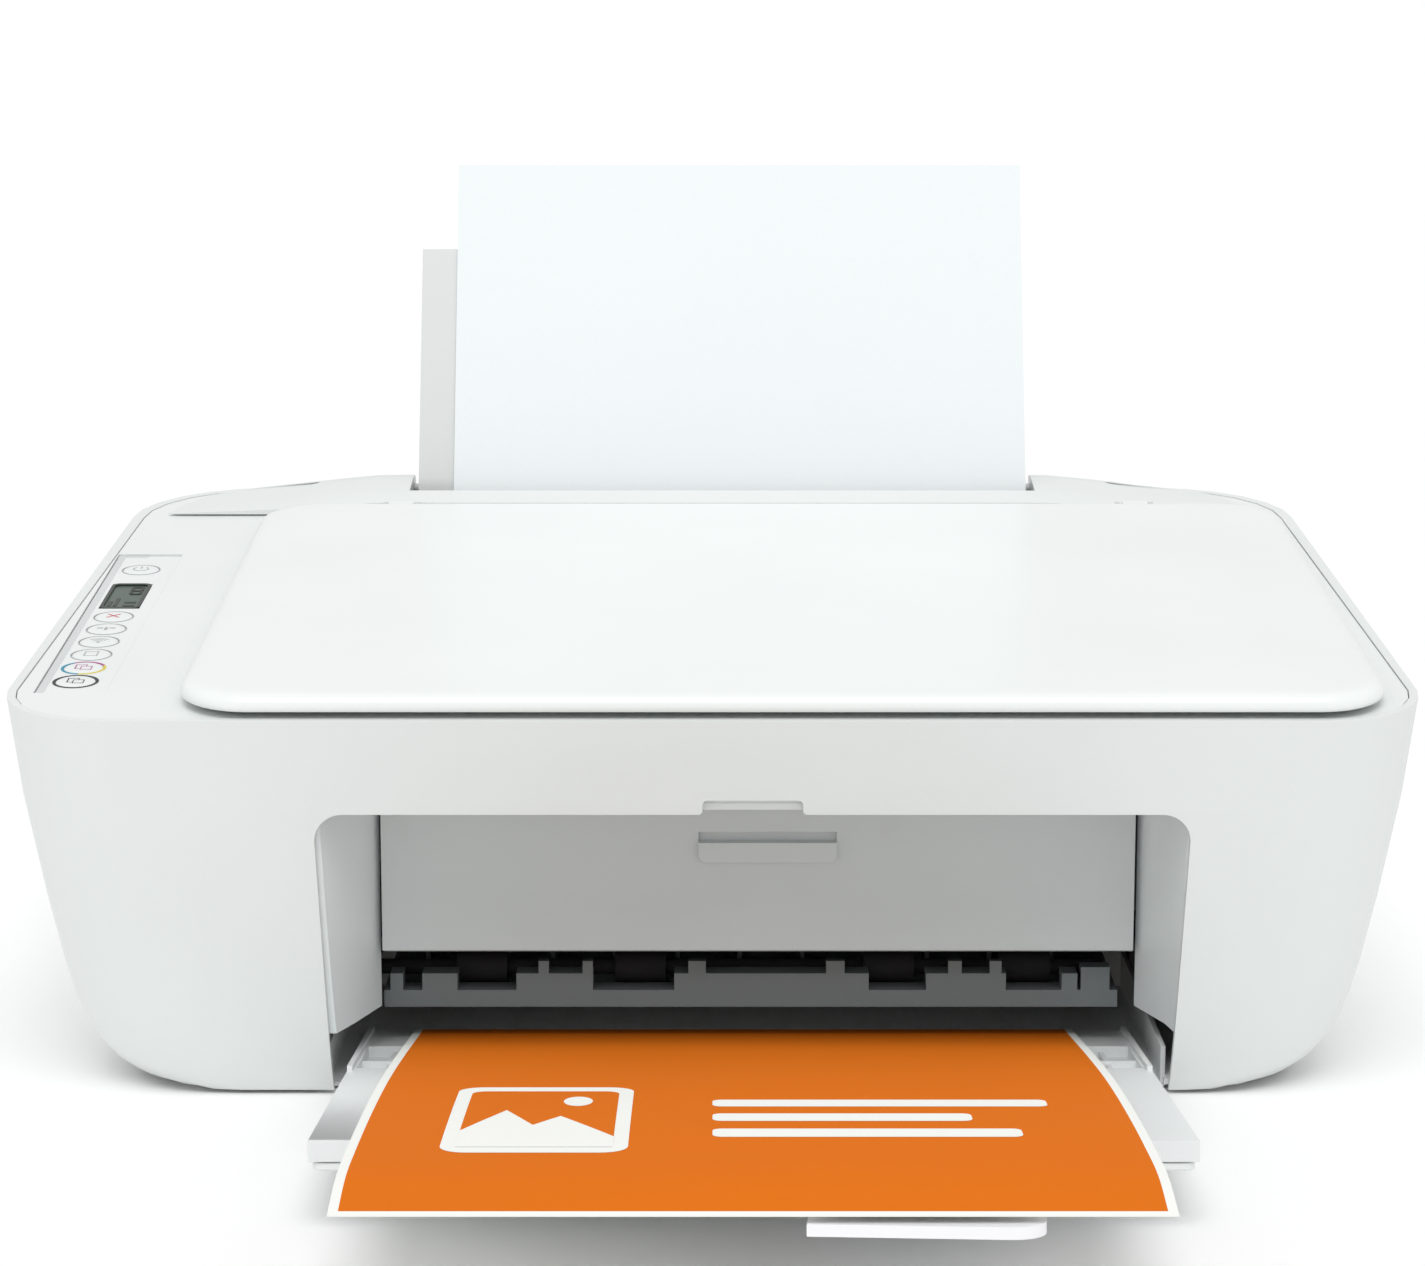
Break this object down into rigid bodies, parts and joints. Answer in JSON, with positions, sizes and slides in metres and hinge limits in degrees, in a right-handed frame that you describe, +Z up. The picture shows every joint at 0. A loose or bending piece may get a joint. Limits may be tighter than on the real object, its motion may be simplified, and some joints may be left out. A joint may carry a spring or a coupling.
{
  "type": "inkjet printer",
  "caption": "All-in-one inkjet printer: flatbed scanner lid, rear paper support with a sheet, front mouth with cartridge door, pull-out output tray and printed page.",
  "frame": {"origin": "middle of the whole object on the table, under its bounding box", "axes": "+Z up, -Y towards the user at the front, +X to the right seen from the front"},
  "size_m": [0.4288, 0.5286, 0.2674],
  "materials": {
    "shell": "fine-textured white",
    "white_plastic": "satin white",
    "grey_plastic": "light grey satin",
    "dark_plastic": "dark grey matt",
    "black_plastic": "black matt",
    "rubber": "matt",
    "steel": "plain",
    "paper": "plain uncoated paper",
    "print": "printed paper",
    "gear_plastic": "natural acetal",
    "circuit_board": "solder mask",
    "display": "liquid crystal display",
    "glass": "clear",
    "foam": "white foam"
  },
  "bodies": {
    "chassis": {"outer_case": "shell", "mouth_surround": "shell", "base_tray": "grey_plastic", "input_shroud": "shell", "foot_front_left": "rubber", "foot_rear_left": "rubber", "foot_front_right": "rubber", "foot_rear_right": "rubber", "scanner_deck": "white_plastic", "scanner_glass": "glass", "scanner_tub": "grey_plastic", "scan_rack": "gear_plastic", "lid_hinge_pin_left": "grey_plastic", "lid_hinge_pin_right": "grey_plastic", "control_bezel": "white_plastic", "lcd_display": "display", "control_board": "circuit_board", "input_sheet": "paper", "paper_chute": "grey_plastic", "gear_plate": "steel", "feed_motor": "steel", "platen": "dark_plastic", "star_wheel_bar": "black_plastic", "carriage_rail": "steel", "carriage_belt": "black_plastic", "carriage_motor": "steel", "encoder_strip": "glass", "service_station": "dark_plastic", "main_board": "circuit_board", "power_supply": "black_plastic", "power_inlet": "black_plastic", "usb_port": "steel"},
    "lid": {"scanner_lid": "white_plastic", "lid_backing": "foam"},
    "cartridge_door": {"cartridge_door": "grey_plastic"},
    "output_tray": {"output_tray": "grey_plastic", "output_tray_cover": "white_plastic", "printed_page": "print"},
    "tray_extender": {"tray_extender": "white_plastic"},
    "input_tray": {"input_tray": "shell"},
    "width_guide": {"width_guide": "grey_plastic"},
    "scan_head": {"scan_head": "black_plastic"},
    "carriage": {"carriage": "dark_plastic", "cartridge_black": "black_plastic", "cartridge_colour": "dark_plastic"},
    "drive_pulley": {"drive_pulley": "gear_plastic"},
    "idler_pulley": {"idler_pulley": "gear_plastic"},
    "feed_roller": {"feed_roller": "rubber"},
    "output_roller": {"output_roller": "rubber"},
    "idler_gear": {"idler_gear": "gear_plastic"},
    "feed_pinion": {"feed_pinion": "gear_plastic"},
    "star_wheels": {"star_wheels": "black_plastic"},
    "pick_roller": {"pick_roller": "rubber"},
    "black_copy_button": {"black_copy_button": "white_plastic"},
    "colour_copy_button": {"colour_copy_button": "white_plastic"},
    "resume_button": {"resume_button": "white_plastic"},
    "wireless_button": {"wireless_button": "white_plastic"},
    "information_button": {"information_button": "white_plastic"},
    "cancel_button": {"cancel_button": "white_plastic"},
    "power_button": {"power_button": "white_plastic"}
  },
  "joints": [
    {"name": "lid_hinge", "type": "hinge", "parent": "chassis", "child": "lid", "pos_m": [0, 0.18944, 0.14825], "axis": [-1, 0, 0], "range_deg": [0, 80]},
    {"name": "door_hinge", "type": "hinge", "parent": "chassis", "child": "cartridge_door", "pos_m": [0, -0.01571, 0.04], "axis": [1, 0, 0], "range_deg": [0, 90]},
    {"name": "tray_slide", "type": "slide", "parent": "chassis", "child": "output_tray", "axis": [0, 1, 0], "range_m": [0, 0.048]},
    {"name": "extender_hinge", "type": "hinge", "parent": "output_tray", "child": "tray_extender", "pos_m": [0.0757, -0.1493, 0.01951], "axis": [0, 0.1179, 0.993], "range_deg": [-85.7, 0]},
    {"name": "input_tray_hinge", "type": "hinge", "parent": "chassis", "child": "input_tray", "pos_m": [0, 0.23004, 0.15], "axis": [-1, 0, 0], "range_deg": [0, 157]},
    {"name": "width_guide_slide", "type": "slide", "parent": "chassis", "child": "width_guide", "axis": [-1, 0, 0], "range_m": [0, 0.008]},
    {"name": "scan_head_slide", "type": "slide", "parent": "chassis", "child": "scan_head", "axis": [1, 0, 0], "range_m": [0, 0.275]},
    {"name": "carriage_slide", "type": "slide", "parent": "chassis", "child": "carriage", "axis": [1, 0, 0], "range_m": [-0.265, 0]},
    {"name": "drive_pulley_spin", "type": "hinge", "parent": "chassis", "child": "drive_pulley", "pos_m": [0.182, 0.07104, 0.08], "axis": [0, 1, 0], "continuous": true},
    {"name": "idler_pulley_spin", "type": "hinge", "parent": "chassis", "child": "idler_pulley", "pos_m": [-0.182, 0.07104, 0.08], "axis": [0, 1, 0], "continuous": true},
    {"name": "feed_roller_spin", "type": "hinge", "parent": "chassis", "child": "feed_roller", "pos_m": [0, 0.05404, 0.027], "axis": [1, 0, 0], "continuous": true},
    {"name": "output_roller_spin", "type": "hinge", "parent": "chassis", "child": "output_roller", "pos_m": [0, 0.00804, 0.027], "axis": [1, 0, 0], "continuous": true},
    {"name": "idler_gear_spin", "type": "hinge", "parent": "chassis", "child": "idler_gear", "pos_m": [0, 0.03004, 0.027], "axis": [1, 0, 0], "continuous": true},
    {"name": "feed_pinion_spin", "type": "hinge", "parent": "chassis", "child": "feed_pinion", "pos_m": [0, 0.07142, 0.02234], "axis": [1, 0, 0], "continuous": true},
    {"name": "star_wheels_spin", "type": "hinge", "parent": "chassis", "child": "star_wheels", "pos_m": [0, 0.00804, 0.0363], "axis": [1, 0, 0], "continuous": true},
    {"name": "pick_roller_spin", "type": "hinge", "parent": "chassis", "child": "pick_roller", "pos_m": [0, 0.16384, 0.069], "axis": [1, 0, 0], "continuous": true},
    {"name": "black_copy_press", "type": "slide", "parent": "chassis", "child": "black_copy_button", "axis": [0, 0.0983, -0.9952], "range_m": [0, 0.001], "stiffness_N_per_m": 400},
    {"name": "colour_copy_press", "type": "slide", "parent": "chassis", "child": "colour_copy_button", "axis": [0, 0.0983, -0.9952], "range_m": [0, 0.001], "stiffness_N_per_m": 400},
    {"name": "resume_press", "type": "slide", "parent": "chassis", "child": "resume_button", "axis": [0, 0.0983, -0.9952], "range_m": [0, 0.001], "stiffness_N_per_m": 400},
    {"name": "wireless_press", "type": "slide", "parent": "chassis", "child": "wireless_button", "axis": [0, 0.0983, -0.9952], "range_m": [0, 0.001], "stiffness_N_per_m": 400},
    {"name": "information_press", "type": "slide", "parent": "chassis", "child": "information_button", "axis": [0, 0.0983, -0.9952], "range_m": [0, 0.001], "stiffness_N_per_m": 400},
    {"name": "cancel_press", "type": "slide", "parent": "chassis", "child": "cancel_button", "axis": [0, 0.0983, -0.9952], "range_m": [0, 0.001], "stiffness_N_per_m": 400},
    {"name": "power_press", "type": "slide", "parent": "chassis", "child": "power_button", "axis": [0, 0.0983, -0.9952], "range_m": [0, 0.001], "stiffness_N_per_m": 400}
  ],
  "couplings": [
    {"joint": "drive_pulley_spin", "follows": "carriage_slide", "rad_per_m": 145.99},
    {"joint": "idler_pulley_spin", "follows": "carriage_slide", "rad_per_m": 145.99},
    {"joint": "output_roller_spin", "follows": "feed_roller_spin", "ratio": 1.2},
    {"joint": "idler_gear_spin", "follows": "feed_roller_spin", "ratio": -1},
    {"joint": "feed_pinion_spin", "follows": "feed_roller_spin", "ratio": -2},
    {"joint": "star_wheels_spin", "follows": "feed_roller_spin", "ratio": -1.5},
    {"joint": "pick_roller_spin", "follows": "feed_roller_spin", "ratio": -0.40541}
  ]
}
